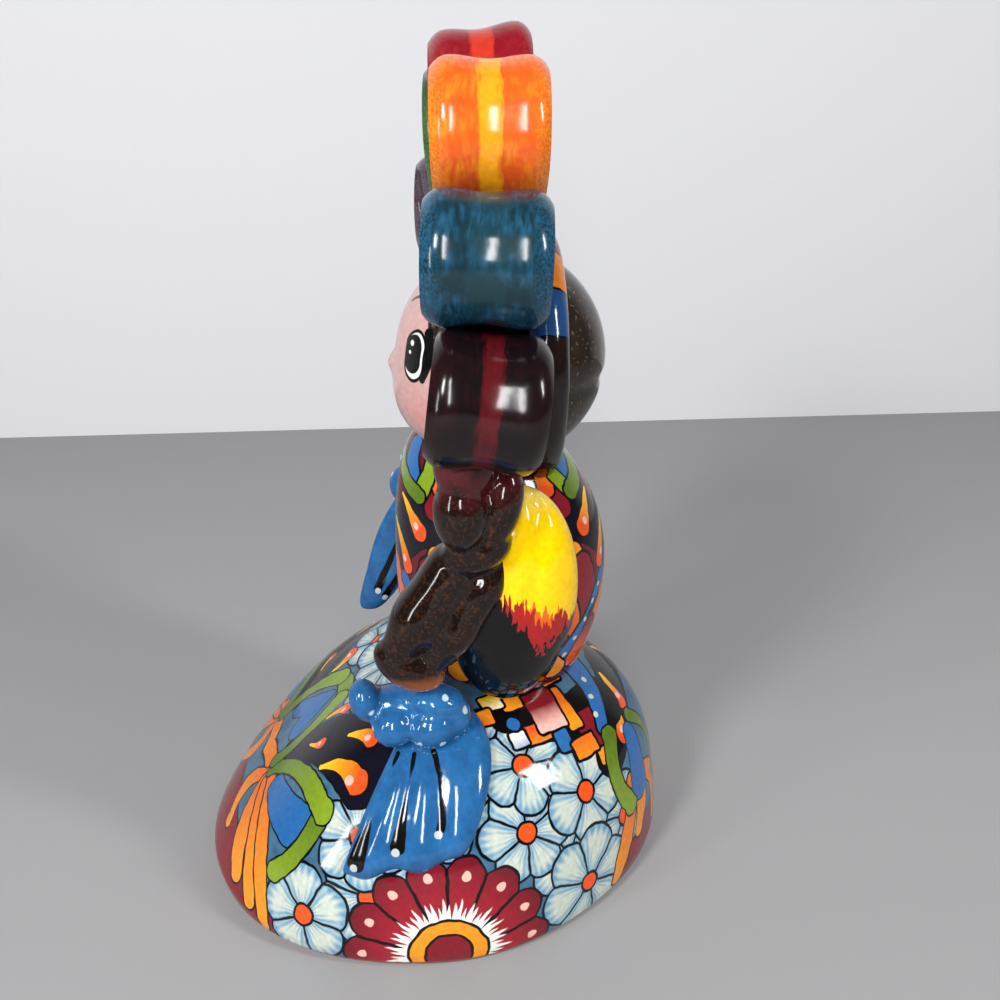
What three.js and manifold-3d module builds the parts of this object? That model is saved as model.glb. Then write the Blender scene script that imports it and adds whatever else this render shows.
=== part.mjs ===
// A seated rag-doll figurine in hand-painted glazed earthenware, cast and built up as one fired piece.
// Millimetres, +Z up. The doll faces -Y and its left side is +X. The origin lies on the
// standing surface, in the middle of the box round the whole figurine.
import * as THREE from 'three';
import { mergeVertices } from 'three/addons/utils/BufferGeometryUtils.js';
import Module from 'manifold-3d';

const wasm = await Module();
wasm.setup();

// Driving dimensions

// The skirt is a dome over a nearly round hem.
const HEM_LENGTH = 144; // front to back
const HEM_WIDTH = 134; // side to side
const HEM_CORNER = 0.037; // share of the radius that a corner bulges or draws in
const SKIRT_HEIGHT = 64;
const HEM_LIP = 5; // height of the widest line over the standing surface
const FULLNESS_FRONT = 1.33; // exponent of the dome's profile, 2 for a plain ellipse
const FULLNESS_BACK = 2.5;
const HEM_TUCK = 0.975; // size of the underside against the widest line
const HEM_TURN = { height: 2, share: 0.993 }; // where the tuck starts
const SEAT = { at: [0, 20, 34], radii: [44, 44, 31], detail: 28 }; // the rounded seat behind
const SKIRT_SEGMENTS = 48;
const SKIRT_ROWS = 12;

// The body stands on one upright axis behind the middle of the skirt.
const BODY_Y = 21;
const BUST_BOTTOM = 46;
const BUST_TOP = 140;
const BUST_WIDTH = 62;
const BUST_DEPTH = 63;
const BUST_ENDS = { from: 0.08, to: 0.92 }; // the share of its half circle that the profile runs over
const BUST_BLUNTNESS = 0.8; // exponent of the profile, 1 for a plain ellipse
const NECK_FORWARD = 9; // how far the bust leans to the front at its top
const HEAD_Z = 155.5;
const HEAD = { at: [0, BODY_Y, HEAD_Z], radii: [30, 29.5, 30], detail: 30 };
const CHIN = { at: [0, BODY_Y - 7, HEAD_Z - 8.5], radii: [23, 23, 20], detail: 20 };
const NOSE = { at: [0, BODY_Y - 28.5, HEAD_Z - 1.5], radii: [3, 2.4, 3], detail: 10 };
const BAND = { y: 30, ringRadius: 30, radius: 7 };

// The headdress is a fan of rolled ribbon loops round the head, hand-made and so not quite alike.
// `angle` is measured from the top, in degrees, `twist` turns the back opening outwards, and
// `shift` is how far a loop sits behind the plane of the fan.
const LOOPS = [
  { angle: 0, reach: 58.1, roll: 16.2, width: 25.4, shift: -0.5, twist: 0 },
  { angle: 33.2, reach: 58.6, roll: 16.5, width: 26.6, shift: 1.6, twist: 0 },
  { angle: 65, reach: 58, roll: 15, width: 28, shift: 0.6, twist: 2 },
  { angle: 97, reach: 58, roll: 16, width: 26.6, shift: 0.4, twist: 7 },
];
const FAN_Y = 16;
const FAN_Z = 165.6;
const FAN_FOLD = 3.5; // degrees that each half of the fan folds to the front
const RIBBON_THICKNESS = 4.8;
const ROOT_RADIUS = 18; // fan centre to the pinched root of a loop
const ROOT_HALF_WIDTH = 6.5;
const HOLE_RISE = 13; // loop root to the closed end of its hole

// Arms hang at the sides of the bust.
const LEFT_ARM = { at: [34, 21, 97], radii: [13.5, 18, 32.5], turn: [-4, 3, 0], detail: 22 };
const RIGHT_ARM = { at: [-34, 21, 97], radii: [13.5, 18, 32.5], turn: [-4, -3, 0], detail: 22 };

// A braid hangs from the lowest loop on each side and ends in a bow with a ribbon tail.
const LEFT_BRAID = [
  { at: [50, 8, 141], radii: [8, 8, 9], detail: 11 },
  { at: [50, 7, 129], radii: [8, 7, 10.5], detail: 13 },
  { at: [47, 17, 127], radii: [7, 5.5, 10], turn: [8, 0, 0], detail: 12 },
  { at: [43, 3, 98], radii: [10, 12.5, 26], turn: [-30, 0, 0], detail: 16 },
];
const RIGHT_BRAID = [
  { at: [-50, 7, 131], radii: [8, 8, 13], detail: 13 },
  { at: [-44, 3, 116], radii: [9, 9, 12], turn: [-15, 0, 0], detail: 13 },
];
const LEFT_BOW = [
  { at: [39, -17.5, 66], radii: [7.5, 7, 8.5], turn: [20, 0, 0], detail: 12 },
  { at: [42, -6.5, 65.5], radii: [7.5, 7, 7], detail: 11 },
  { at: [40, 6, 64], radii: [8, 11, 7.5], turn: [-10, 0, 0], detail: 13 },
  { at: [42, -4, 58], radii: [7, 13, 7], detail: 12 },
];
const RIGHT_BOW = [
  { at: [-44, -3, 109], radii: [6, 6, 6], detail: 11 },
  { at: [-45, -7, 100], radii: [6.5, 6, 7], detail: 11 },
  { at: [-46, 6, 104], radii: [6, 9, 7], detail: 11 },
];
const TAIL_THICKNESS = 6.5;
const TAIL_SINK = 2; // how deep the left tail beds into the skirt
const LEFT_TAIL = { // shares of the hem radius, and degrees round the skirt
  top: { share: 0.64, from: 74, to: 112 },
  bottom: { share: 0.92, from: 66, to: 102 },
  rows: 9,
  columns: 12,
};
const RIGHT_TAIL = {
  line: [[-44, -2, 99], [-46, -8, 84], [-46, -14, 68], [-46, -22, 52]],
  halfThickness: 3,
  widening: 8,
  rows: 8,
  segments: 14,
};

const RADIANS = Math.PI / 180;

// Solids

function solidOf(geometry) {
  const bare = geometry.clone();
  bare.deleteAttribute('normal');
  bare.deleteAttribute('uv');
  const merged = mergeVertices(bare, 1e-4);
  return new wasm.Manifold(new wasm.Mesh({
    numProp: 3,
    vertProperties: new Float32Array(merged.attributes.position.array),
    triVerts: new Uint32Array(merged.index.array),
  }));
}

function geometryOf(solid) {
  const mesh = solid.getMesh();
  const positions = new Float32Array(mesh.vertProperties);
  const geometry = new THREE.BufferGeometry();
  geometry.setAttribute('position', new THREE.BufferAttribute(positions, 3));
  geometry.setIndex(new THREE.BufferAttribute(new Uint32Array(mesh.triVerts), 1));
  geometry.computeVertexNormals();
  return geometry;
}

// A rounded lump with its middle at `at`, turned by Euler angles in degrees.
function lump({ at, radii, turn = [0, 0, 0], detail }) {
  const geometry = new THREE.SphereGeometry(1, detail, Math.round(detail * 0.6));
  const euler = new THREE.Euler(...turn.map((degrees) => degrees * RADIANS));
  geometry.rotateX(Math.PI / 2);
  geometry.scale(...radii);
  geometry.applyMatrix4(new THREE.Matrix4().makeRotationFromEuler(euler));
  geometry.translate(...at);
  return solidOf(geometry);
}

// A closed skin over equal rings of points, with a flat fan over each end.
function loft(rings) {
  const count = rings[0].length;
  const points = rings.flat();
  const index = [];
  for (let row = 0; row + 1 < rings.length; row += 1) {
    for (let i = 0; i < count; i += 1) {
      const a = row * count + i;
      const b = row * count + (i + 1) % count;
      index.push(a, b, b + count, a, b + count, a + count);
    }
  }
  const closeEnd = (row, flipped) => {
    const middle = new THREE.Vector3();
    rings[row].forEach((point) => middle.add(point));
    points.push(middle.divideScalar(count));
    for (let i = 0; i < count; i += 1) {
      const a = row * count + i;
      const b = row * count + (i + 1) % count;
      index.push(points.length - 1, ...(flipped ? [b, a] : [a, b]));
    }
  };
  closeEnd(0, true);
  closeEnd(rings.length - 1, false);
  const geometry = new THREE.BufferGeometry();
  const positions = points.flatMap((point) => point.toArray());
  geometry.setAttribute('position', new THREE.Float32BufferAttribute(positions, 3));
  geometry.setIndex(index);
  return solidOf(geometry);
}

// Skirt

// `around` runs from 0 at the front, over 90 degrees at the doll's left, to 180 at the back.
// The hem is an ellipse that bulges at its two front corners and draws in at the back ones.
function hemRadius(around) {
  const across = Math.sin(around) / (HEM_WIDTH / 2);
  const along = Math.cos(around) / (HEM_LENGTH / 2);
  const corner = Math.sin(2 * around) ** 2 * Math.sign(along);
  return (1 + HEM_CORNER * corner) / Math.hypot(across, along);
}

// The dome slopes at the front, over the legs, and stands fuller at the sides and the back.
function fullness(around) {
  const turn = Math.acos(Math.cos(around)) / RADIANS;
  const toBack = THREE.MathUtils.smoothstep(turn, 5, 105);
  return THREE.MathUtils.lerp(FULLNESS_FRONT, FULLNESS_BACK, toBack);
}

function domeShare(around, z) {
  return (1 - (z / SKIRT_HEIGHT) ** fullness(around)) ** (1 / fullness(around));
}

function domeHeight(around, share) {
  return SKIRT_HEIGHT * (1 - share ** fullness(around)) ** (1 / fullness(around));
}

function skirtPoint(around, share, z) {
  const radius = hemRadius(around) * share;
  return new THREE.Vector3(radius * Math.sin(around), -radius * Math.cos(around), z);
}

function skirtRing(z, shareOf) {
  return Array.from({ length: SKIRT_SEGMENTS }, (_, i) => {
    const around = (i / SKIRT_SEGMENTS) * 2 * Math.PI;
    return skirtPoint(around, shareOf(around), z);
  });
}

function skirt() {
  const rings = [
    skirtRing(0, () => HEM_TUCK),
    skirtRing(HEM_TURN.height, () => HEM_TURN.share),
    skirtRing(HEM_LIP, () => 1),
  ];
  for (let row = 1; row < SKIRT_ROWS; row += 1) {
    const rise = Math.sin((row / SKIRT_ROWS) * Math.PI / 2);
    const z = HEM_LIP + (SKIRT_HEIGHT - HEM_LIP) * rise;
    rings.push(skirtRing(z, (around) => domeShare(around, z) / domeShare(around, HEM_LIP)));
  }
  return loft(rings).add(lump(SEAT));
}

// Bust and head

function bust() {
  const rows = 11;
  const segments = 28;
  const middle = (BUST_BOTTOM + BUST_TOP) / 2;
  const rings = Array.from({ length: rows }, (_, row) => {
    const angle = THREE.MathUtils.lerp(BUST_ENDS.from, BUST_ENDS.to, row / (rows - 1)) * Math.PI;
    const z = middle - Math.cos(angle) * (BUST_TOP - BUST_BOTTOM) / 2;
    const share = Math.sin(angle) ** BUST_BLUNTNESS;
    const forward = NECK_FORWARD * Math.max(0, (z - middle) / (BUST_TOP - middle)) ** 2;
    return Array.from({ length: segments }, (__, i) => {
      const turn = (i / segments) * 2 * Math.PI;
      return new THREE.Vector3(
        share * Math.sin(turn) * BUST_WIDTH / 2,
        BODY_Y - forward - share * Math.cos(turn) * BUST_DEPTH / 2,
        z,
      );
    });
  });
  return loft(rings);
}

// A thick band runs over the head, behind the roots of the loops.
function headband() {
  const geometry = new THREE.TorusGeometry(BAND.ringRadius, BAND.radius, 8, 28);
  geometry.rotateX(Math.PI / 2);
  geometry.translate(0, BAND.y, HEAD_Z);
  return solidOf(geometry);
}

function head() {
  return [lump(HEAD), lump(CHIN), lump(NOSE), headband()];
}

// Headdress

// A roll on two straight straps that run in to the root, in the plane of the fan.
// The middle of the roll is at the origin.
function loopOutline(radius, rootDistance, rootHalfWidth) {
  const outline = new THREE.Shape();
  const slant = Math.atan2(radius - rootHalfWidth, rootDistance);
  outline.absarc(0, 0, radius, -slant, Math.PI + slant, false);
  outline.lineTo(-rootHalfWidth, -rootDistance);
  outline.lineTo(rootHalfWidth, -rootDistance);
  return outline;
}

function ribbonLoop({ angle, reach, roll, width, shift, twist }, side) {
  const rootDistance = reach - ROOT_RADIUS;
  const outline = loopOutline(roll, rootDistance, ROOT_HALF_WIDTH);
  outline.holes.push(loopOutline(
    roll - RIBBON_THICKNESS,
    rootDistance - HOLE_RISE,
    ROOT_HALF_WIDTH - RIBBON_THICKNESS,
  ));
  const geometry = new THREE.ExtrudeGeometry(outline, {
    depth: width,
    bevelEnabled: false,
    curveSegments: 12,
  });
  geometry.translate(0, 0, -width / 2);
  geometry.rotateX(Math.PI / 2);
  geometry.rotateZ(-side * twist * RADIANS);
  geometry.translate(0, shift, reach);
  geometry.rotateY(side * angle * RADIANS);
  geometry.rotateZ(-side * FAN_FOLD * RADIANS);
  geometry.translate(0, FAN_Y, FAN_Z);
  return solidOf(geometry);
}

function headdress() {
  const [top, ...others] = LOOPS;
  const pairs = others.flatMap((loop) => [ribbonLoop(loop, 1), ribbonLoop(loop, -1)]);
  return [ribbonLoop(top, 0), ...pairs];
}

// Ribbon tails

// The left tail lies on the skirt. It widens from the bow down to its two cut ends.
function leftTail() {
  const { top, bottom, rows, columns } = LEFT_TAIL;
  const { lerp } = THREE.MathUtils;
  const rings = Array.from({ length: rows }, (_, row) => {
    const down = row / (rows - 1);
    const share = lerp(top.share, bottom.share, down);
    const under = [];
    const over = [];
    for (let column = 0; column <= columns; column += 1) {
      const across = column / columns;
      const topAngle = lerp(top.from, top.to, across);
      const bottomAngle = lerp(bottom.from, bottom.to, across);
      const around = RADIANS * lerp(topAngle, bottomAngle, down);
      const surface = skirtPoint(around, share, domeHeight(around, share));
      const outward = surface.clone();
      outward.divide(new THREE.Vector3((HEM_WIDTH / 2) ** 2, (HEM_LENGTH / 2) ** 2, SKIRT_HEIGHT ** 2));
      outward.normalize();
      under.push(surface.clone().addScaledVector(outward, -TAIL_SINK));
      over.push(surface.clone().addScaledVector(outward, TAIL_THICKNESS - TAIL_SINK));
    }
    return [...over, ...under.reverse()];
  });
  return loft(rings.reverse());
}

// The right tail hangs free in front of the arm.
function rightTail() {
  const { halfThickness, widening, rows, segments } = RIGHT_TAIL;
  const line = new THREE.CatmullRomCurve3(RIGHT_TAIL.line.map((point) => new THREE.Vector3(...point)));
  const rings = Array.from({ length: rows }, (_, row) => {
    const along = row / (rows - 1);
    const middle = line.getPoint(along);
    const halfWidth = 1 + widening * Math.sin(Math.PI * (0.25 + 0.62 * along));
    return Array.from({ length: segments }, (__, i) => {
      const turn = -(i / segments) * 2 * Math.PI;
      const outward = new THREE.Vector3(halfThickness * Math.cos(turn), halfWidth * Math.sin(turn), 0);
      return outward.add(middle);
    });
  });
  return loft(rings);
}

function figurine() {
  const lumps = [LEFT_ARM, RIGHT_ARM, ...LEFT_BRAID, ...RIGHT_BRAID, ...LEFT_BOW, ...RIGHT_BOW].map(lump);
  const bodies = [skirt(), bust(), ...head(), ...headdress(), ...lumps, leftTail(), rightTail()];
  const whole = bodies.reduce((sum, body) => sum.add(body));
  const glaze = new THREE.MeshStandardMaterial({ color: 0x2d6496, roughness: 0.16, metalness: 0 });
  const mesh = new THREE.Mesh(geometryOf(whole), glaze);
  mesh.name = 'doll_figurine';
  return mesh;
}

const group = new THREE.Group();
group.add(figurine());

export default group;
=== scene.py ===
# %% [markdown]
# # A glazed earthenware doll
# The figurine is one fired piece: a hollow dome skirt with a bust and a ball head on it, and
# parts rolled and modelled by hand that were stuck on with slip. They are the arms, the braids
# with their bows and ribbon tails, and a fan of seven ribbon loops round the head.
# It was painted with underglaze colours, dipped in clear glaze and fired again.
# The lesson builds each form, joins them all into one skin, and then paints it.

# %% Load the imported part
import math

import bpy
import numpy as np
from mathutils import Matrix, Vector


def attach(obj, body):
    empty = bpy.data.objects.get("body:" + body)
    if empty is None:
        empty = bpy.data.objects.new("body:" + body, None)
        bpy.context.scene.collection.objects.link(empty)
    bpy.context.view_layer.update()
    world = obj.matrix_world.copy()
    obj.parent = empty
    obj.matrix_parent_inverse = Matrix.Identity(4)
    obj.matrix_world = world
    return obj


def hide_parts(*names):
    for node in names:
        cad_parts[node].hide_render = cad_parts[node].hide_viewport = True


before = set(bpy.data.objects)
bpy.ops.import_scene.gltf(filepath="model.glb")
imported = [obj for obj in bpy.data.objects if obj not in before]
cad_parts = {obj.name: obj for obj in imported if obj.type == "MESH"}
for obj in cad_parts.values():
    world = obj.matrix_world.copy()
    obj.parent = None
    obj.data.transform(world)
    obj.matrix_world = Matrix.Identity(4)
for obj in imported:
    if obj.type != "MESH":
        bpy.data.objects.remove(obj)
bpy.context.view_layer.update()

MM = 0.001

# %% [markdown]
# ## Camera, floor and light
# The doll faces -Y and is seen from its left, from about 30 cm away and a little above the
# head. A pale floor and wall stand in for the room. Four soft boxes on the camera's side
# give each shiny form its highlights, and the wall gives the pale line along every outline.

# %% Camera, floor and light
def look_at(thing, place, target):
    thing.location = place
    aim = (Vector(target) - Vector(place)).to_track_quat("-Z", "Y")
    thing.rotation_euler = aim.to_euler()


CAMERA_PLACE = Vector((0.27395, -0.00307, 0.2229))
CAMERA_AIM = Vector((-0.9230, 0.0808, -0.3762))

bpy.ops.object.camera_add()
camera = bpy.context.object
camera.data.lens = 36
camera.data.sensor_width = 36
camera.data.clip_start = 0.01
look_at(camera, CAMERA_PLACE, CAMERA_PLACE + CAMERA_AIM)
bpy.context.scene.camera = camera

ROOM_SIZE = 6
FLOOR_Z = -0.0005
WALL_X = -0.42
UPRIGHT = (0, math.radians(90), 0)
bpy.ops.mesh.primitive_plane_add(size=ROOM_SIZE, location=(0, 0, FLOOR_Z))
floor = bpy.context.object
floor.name = "floor"
bpy.ops.mesh.primitive_plane_add(size=ROOM_SIZE, location=(WALL_X, 0, 0), rotation=UPRIGHT)
wall = bpy.context.object
wall.name = "wall"


def new_material(name):
    """Returns a new material and its shader."""
    material = bpy.data.materials.new(name)
    material.use_nodes = True
    return material, material.node_tree.nodes["Principled BSDF"]


def plain_material(name, colour):
    material, shader = new_material(name)
    shader.inputs["Base Color"].default_value = (*colour, 1)
    shader.inputs["Roughness"].default_value = 0.9
    return material


floor.data.materials.append(plain_material("floor_grey", (0.31, 0.31, 0.315)))
wall.data.materials.append(plain_material("wall_grey", (0.66, 0.66, 0.68)))

LIGHT_TARGET = Vector((0, 0.01, 0.12))


def soft_box(azimuth, elevation, distance, size, power):
    """Azimuth is from the doll's left (+X), positive towards its front."""
    turn = math.radians(-azimuth)
    rise = math.radians(elevation)
    way = Vector((math.cos(turn) * math.cos(rise), math.sin(turn) * math.cos(rise), math.sin(rise)))
    bpy.ops.object.light_add(type="AREA")
    lamp = bpy.context.object
    lamp.data.shape = "RECTANGLE"
    lamp.data.size = size[0]
    lamp.data.size_y = size[1]
    lamp.data.energy = power
    look_at(lamp, LIGHT_TARGET + way * distance, LIGHT_TARGET)


soft_box(38, 34, 1.0, (0.16, 0.30), 6.7)
soft_box(7, 28, 1.0, (0.11, 0.60), 6.7)
soft_box(-58, 30, 1.0, (0.12, 0.34), 5.0)
soft_box(57, 11, 0.9, (0.06, 0.36), 1.8)

# The standard view keeps the strong paint colours, which the default one would grey.
bpy.context.scene.view_settings.view_transform = "Standard"
world = bpy.data.worlds.new("room")
bpy.context.scene.world = world
world.use_nodes = True
background = world.node_tree.nodes["Background"]
background.inputs["Color"].default_value = (0.84, 0.86, 0.90, 1)
background.inputs["Strength"].default_value = 0.14

# %% [markdown]
# ## The forms
# Each form starts as a grid primitive. A function says where each of its points goes on the
# real piece, in millimetres, and the seam and the ends are welded. A hand-built doll has no
# straight edges to extrude, so this gives its shapes with fewer steps than cutting and bevels.

# %% Tools for the forms
def select(*pieces):
    """Selects pieces. The first is the active one."""
    bpy.ops.object.select_all(action="DESELECT")
    for piece in pieces:
        piece.select_set(True)
    bpy.context.view_layer.objects.active = pieces[0]


def clean_skin(piece):
    """Welds seams and ends, and turns all faces outwards."""
    select(piece)
    bpy.ops.object.mode_set(mode="EDIT")
    bpy.ops.mesh.select_all(action="SELECT")
    bpy.ops.mesh.remove_doubles(threshold=0.02 * MM)
    bpy.ops.mesh.normals_make_consistent(inside=False)
    bpy.ops.object.mode_set(mode="OBJECT")


def grid_form(name, columns, rows, place):
    """`place` takes arrays u and v from 0 to 1 and returns x, y and z in millimetres."""
    bpy.ops.object.select_all(action="DESELECT")
    bpy.ops.mesh.primitive_grid_add(x_subdivisions=columns, y_subdivisions=rows, size=1)
    piece = bpy.context.object
    piece.name = name
    flat = np.empty(len(piece.data.vertices) * 3)
    piece.data.vertices.foreach_get("co", flat)
    u = flat[0::3] + 0.5
    v = flat[1::3] + 0.5
    points = np.column_stack(place(u, v)) * MM
    piece.data.vertices.foreach_set("co", points.ravel())
    clean_skin(piece)
    print(name, len(piece.data.polygons), "faces")
    return piece


def ball_direction(u, v):
    """Goes round a ball with u and from its lowest to its highest point with v."""
    around = u * 2 * np.pi
    level = np.sin(v * np.pi)
    return level * np.sin(around), -level * np.cos(around), -np.cos(v * np.pi)


def path_length(across, up):
    """The length of a path so far, at each of its points."""
    return np.concatenate([[0], np.cumsum(np.hypot(np.diff(across), np.diff(up)))])


def moved(axes, x, y, z):
    """The points of a form on its own axes, moved to their place on the doll."""
    points = np.column_stack([x, y, z, np.ones_like(x)]) @ np.array(axes).T
    return points[:, 0], points[:, 1], points[:, 2]


def turned(degrees, axis):
    return Matrix.Rotation(math.radians(degrees), 4, axis)


def soft_union(first, second, sharpness=14):
    """The larger of two radii, with a rounded step between them."""
    return (first ** sharpness + second ** sharpness) ** (1 / sharpness)


def smooth_step(value, low, high):
    share = np.clip((value - low) / (high - low), 0, 1)
    return share * share * (3 - 2 * share)


def bell(value, middle, width):
    return np.exp(-((value - middle) / width) ** 2)


# %% [markdown]
# ## Skirt
# The skirt is a dome over a nearly round hem, thrown or cast in a mould. It slopes at the front,
# where the legs would be, and stands full at the sides and behind. Underneath, the hem is a ring
# and the dome is hollow. One profile runs from the roof of the hollow over the hem to the top.

# %% Skirt
HEM_LENGTH = 144.0
HEM_WIDTH = 134.0
HEM_CORNER = 0.037
SKIRT_HEIGHT = 64.0
HEM_LIP = 5.0
FULLNESS_FRONT = 1.33
FULLNESS_BACK = 2.5
SEAT_Y = 20.0
SEAT_Z = 34.0
SEAT_RADIUS = 44.0
SEAT_HEIGHT = 30.5
HOLLOW = [  # share of the hem radius, height
    (0.0, 40.0), (0.30, 39.0), (0.52, 34.0), (0.70, 22.0), (0.80, 10.0), (0.845, 3.0),
    (0.87, 0.6), (0.89, 0.0), (0.955, 0.0), (0.975, 0.5), (0.993, 2.2), (1.0, 5.0),
]
HOLLOW_PART = 0.3  # share of the profile's rows


def hem_radius(around):
    across = np.sin(around) / (HEM_WIDTH / 2)
    along = np.cos(around) / (HEM_LENGTH / 2)
    corner = np.sin(2 * around) ** 2 * np.sign(along)
    return (1 + HEM_CORNER * corner) / np.hypot(across, along)


def fullness(around):
    turn = np.degrees(np.arccos(np.cos(around)))
    return FULLNESS_FRONT + (FULLNESS_BACK - FULLNESS_FRONT) * smooth_step(turn, 5, 105)


def dome_radius(around, z):
    """Radius of the skirt at a height over the hem's widest line."""
    power = fullness(around)
    rise = np.clip(z / SKIRT_HEIGHT, 0, 1)
    at_lip = (1 - (HEM_LIP / SKIRT_HEIGHT) ** power) ** (1 / power)
    dome = hem_radius(around) * (1 - rise ** power) ** (1 / power) / at_lip
    level = np.clip(1 - ((z - SEAT_Z) / SEAT_HEIGHT) ** 2, 0, 1) * SEAT_RADIUS ** 2
    back = -SEAT_Y * np.cos(around)
    inside = level - SEAT_Y ** 2 + back ** 2
    seat = np.where(inside > 0, back + np.sqrt(np.clip(inside, 0, None)), 0)
    return soft_union(dome, np.clip(seat, 0, None))


def skirt_point(around, z):
    radius = dome_radius(around, np.maximum(z, HEM_LIP))
    return radius * np.sin(around), -radius * np.cos(around), z


def skirt_place(u, v):
    around = u * 2 * np.pi
    steps = np.linspace(0, HOLLOW_PART, len(HOLLOW))
    share = np.interp(v, steps, [s for s, _ in HOLLOW])
    height = np.interp(v, steps, [z for _, z in HOLLOW])
    rise = np.clip((v - HOLLOW_PART) / (1 - HOLLOW_PART), 0, 1)
    z = np.where(rise > 0, HEM_LIP + (SKIRT_HEIGHT - HEM_LIP) * np.sin(rise * np.pi / 2), height)
    radius = np.where(rise > 0, dome_radius(around, z), hem_radius(around) * share)
    radius = np.where(rise > 0.9999, 0, radius)
    return radius * np.sin(around), -radius * np.cos(around), z


skirt = grid_form("skirt", 168, 110, skirt_place)

# %% [markdown]
# ## Bust
# The bust is an upright egg that leans a little forward at the neck.

# %% Bust
BODY_Y = 21.0
BUST_BOTTOM = 46.0
BUST_TOP = 140.0
BUST_MIDDLE = (BUST_BOTTOM + BUST_TOP) / 2
BUST_HALF = (BUST_TOP - BUST_BOTTOM) / 2
BUST_WIDTH = 62.0
BUST_DEPTH = 63.0
BUST_BLUNTNESS = 0.8
NECK_FORWARD = 9.0


def bust_point(around, z):
    up = (z - BUST_MIDDLE) / BUST_HALF
    share = np.clip(1 - up ** 2, 0, 1) ** (BUST_BLUNTNESS / 2)
    forward = NECK_FORWARD * np.clip(up, 0, None) ** 2
    x = share * np.sin(around) * BUST_WIDTH / 2
    y = BODY_Y - forward - share * np.cos(around) * BUST_DEPTH / 2
    return x, y, z


def bust_place(u, v):
    return bust_point(u * 2 * np.pi, BUST_MIDDLE - BUST_HALF * np.cos(v * np.pi))


bust = grid_form("bust", 80, 64, bust_place)

# %% [markdown]
# ## Head
# A ball with a softly pressed chin and a button nose. The hair is two low bulges at the back,
# one over the other, under dark paint.

# %% Head
HEAD_Z = 155.5
HEAD_RADIUS = 30.0
CHIN = {"y": -7.0, "z": -8.5, "radii": (23.0, 23.0, 20.0)}
NOSE = 1.6
HAIR_WAIST = 0.9
EYE_SOCKET = 0.5


def head_radius(x, y, z):
    """Radius of the head along a unit direction from its middle."""
    flat = (x ** 2 + z ** 2) / (HEAD_RADIUS - 0.2) ** 2
    ball = 1 / np.sqrt(flat + y ** 2 / (HEAD_RADIUS - 0.7) ** 2)
    rx, ry, rz = CHIN["radii"]
    a = (x / rx) ** 2 + (y / ry) ** 2 + (z / rz) ** 2
    b = y * CHIN["y"] / ry ** 2 + z * CHIN["z"] / rz ** 2
    c = (CHIN["y"] / ry) ** 2 + (CHIN["z"] / rz) ** 2 - 1
    chin = (b + np.sqrt(b * b - a * c)) / a
    radius = soft_union(ball, chin, 24)
    radius = radius + NOSE * np.exp(-(x ** 2 + (z + 0.045) ** 2) / 0.008) * (y < 0)
    waist = HAIR_WAIST * bell(z, -0.18, 0.07) * smooth_step(y, 0.2, 0.8)
    from_eye = (np.abs(x) - 0.55) ** 2 + (z - 0.14) ** 2
    sockets = EYE_SOCKET * np.exp(-from_eye / 0.03) * (y < 0)
    return radius - waist - sockets


def head_place(u, v):
    x, y, z = ball_direction(u, v)
    radius = head_radius(x, y, z)
    return radius * x, BODY_Y + radius * y, HEAD_Z + radius * z


head = grid_form("head", 112, 72, head_place)

# %% [markdown]
# ## Headband
# A thick coil runs over the head behind the roots of the loops and holds the fan upright.

# %% Headband
BAND_Y = 30.0
BAND_RING = 30.0
BAND_TUBE = 6.0


def band_place(u, v):
    around = u * 2 * np.pi
    tube = v * 2 * np.pi
    ring = BAND_RING + BAND_TUBE * np.cos(tube)
    return ring * np.sin(around), BAND_Y + BAND_TUBE * np.sin(tube), HEAD_Z + ring * np.cos(around)


band = grid_form("band", 72, 20, band_place)

# %% [markdown]
# ## Fan of ribbon loops
# Each loop is a strip of clay laid over a dowel and pinched together at its root. The strip is
# widest over the roll, its two rims flare up a little and are rubbed thin with a wet finger.
# The section of the strip is a list of points across its width, and a path carries it round.

# %% Section and path of a ribbon
RIBBON = 4.6  # thickness
FLARE = 0.9
SHOULDER = 0.66
RIM_DROP = 2.6
RIM_TUCK = 2.2


def ribbon_section(half_width, count):
    """Points (across, out) round the section: the outer side, one rim, the inner side, the other."""
    across = np.linspace(-1, 1, 60)
    x = np.abs(across)
    rise = FLARE * np.sin(np.pi / 2 * np.clip(x / SHOULDER, 0, 1)) ** 2
    fall = RIM_DROP * np.clip((x - SHOULDER) / (1 - SHOULDER), 0, 1) ** 2.3
    outer = RIBBON / 2 + rise - fall
    inner = -RIBBON / 2 + RIM_TUCK * x ** 5
    outline_w = np.concatenate([across, across[::-1], across[:1]]) * half_width
    outline_h = np.concatenate([outer, inner[::-1], outer[:1]])
    length = path_length(outline_w, outline_h)
    steps = np.linspace(0, length[-1], count)
    return np.interp(steps, length, outline_w), np.interp(steps, length, outline_h)


def ribbon_path(radius, root_distance, root_half):
    """Points (sideways, up) of the middle line, from root over the roll to root, and its length."""
    slant = math.atan2(radius - root_half, root_distance)
    turn = np.linspace(math.pi + slant, -slant, 80)
    side = np.concatenate([[-root_half], radius * np.cos(turn), [root_half]])
    up = np.concatenate([[-root_distance], radius * np.sin(turn), [-root_distance]])
    length = path_length(side, up)
    return side, up, length / length[-1]


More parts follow.
